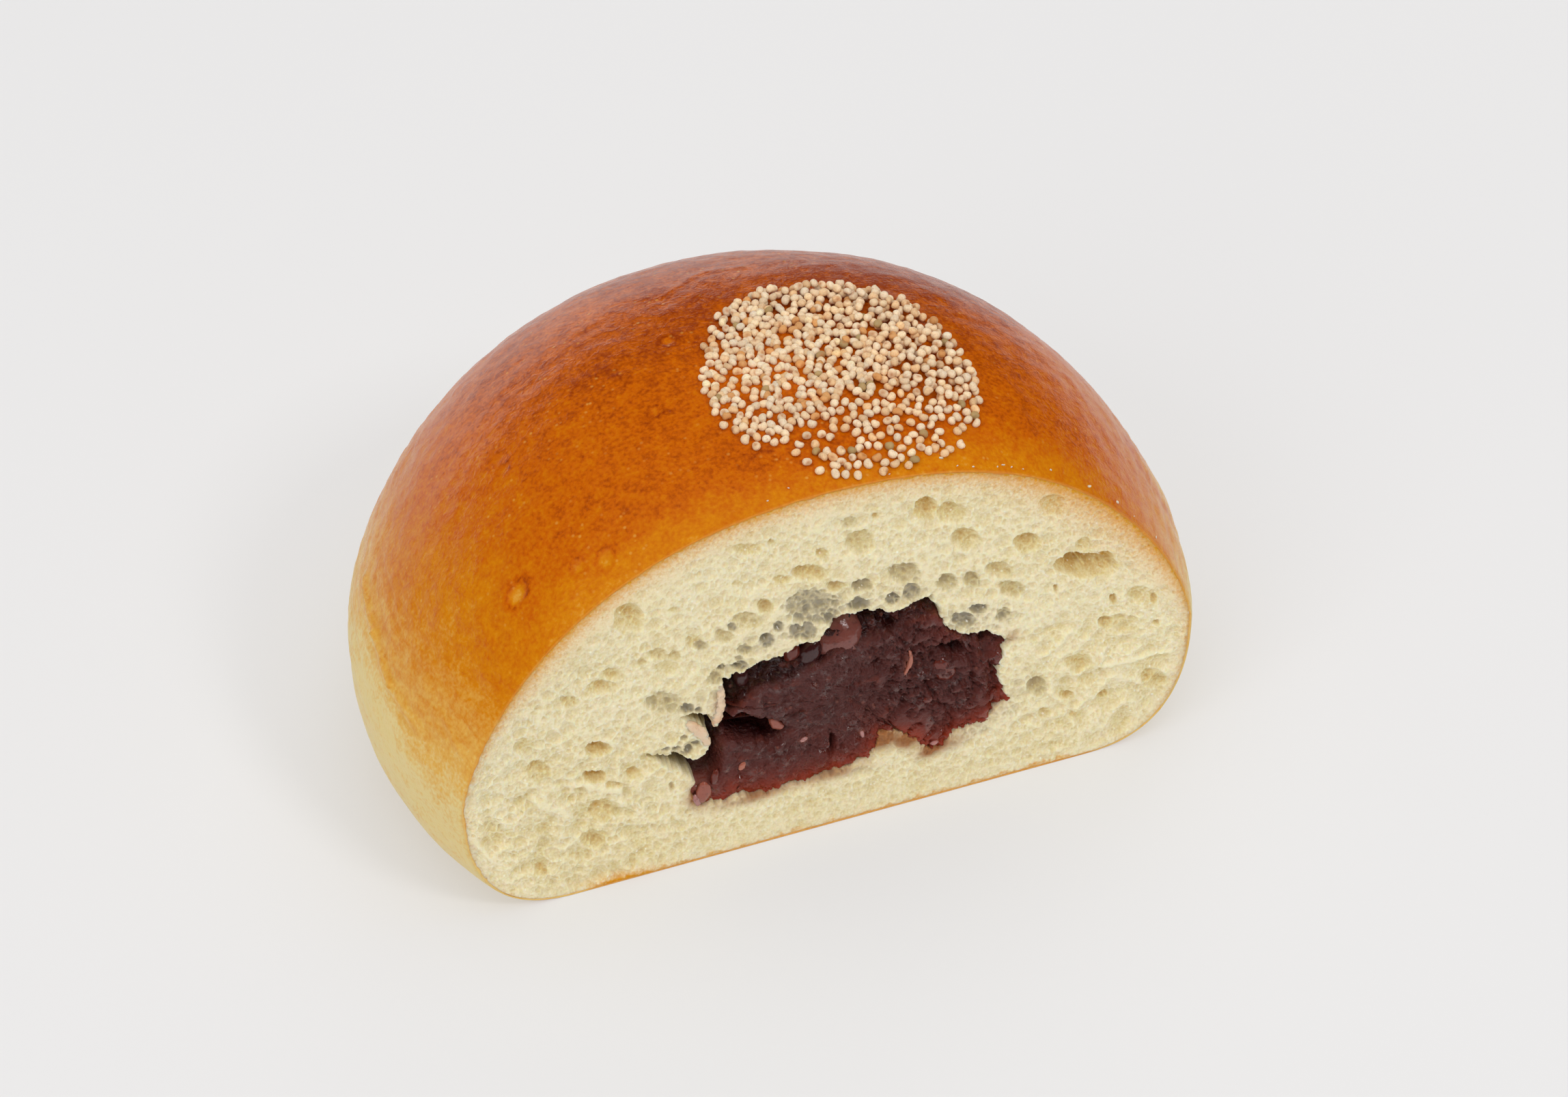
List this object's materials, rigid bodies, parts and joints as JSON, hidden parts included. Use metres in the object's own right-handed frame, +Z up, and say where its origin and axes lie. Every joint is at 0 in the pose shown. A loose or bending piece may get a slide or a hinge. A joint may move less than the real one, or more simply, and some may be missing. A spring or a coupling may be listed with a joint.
{
  "type": "red bean bun",
  "caption": "Sweet bread bun cut open in front of its middle, with poppy seeds on top and a red bean paste filling that shows at the cut.",
  "frame": {"origin": "bottom centre of the cut bun's box, on the flat base", "axes": "+X along the cut, to the right seen from the cut side, +Y from the cut face back into the bun, +Z up"},
  "size_m": [0.096, 0.0672, 0.0521],
  "materials": {
    "bread": "soft golden-brown baked crust over pale cream crumb, satin",
    "bean_paste": "moist dark maroon bean paste with skins, half glossy"
  },
  "bodies": {
    "root": {"bun": "bread", "filling": "bean_paste"}
  },
  "joints": []
}
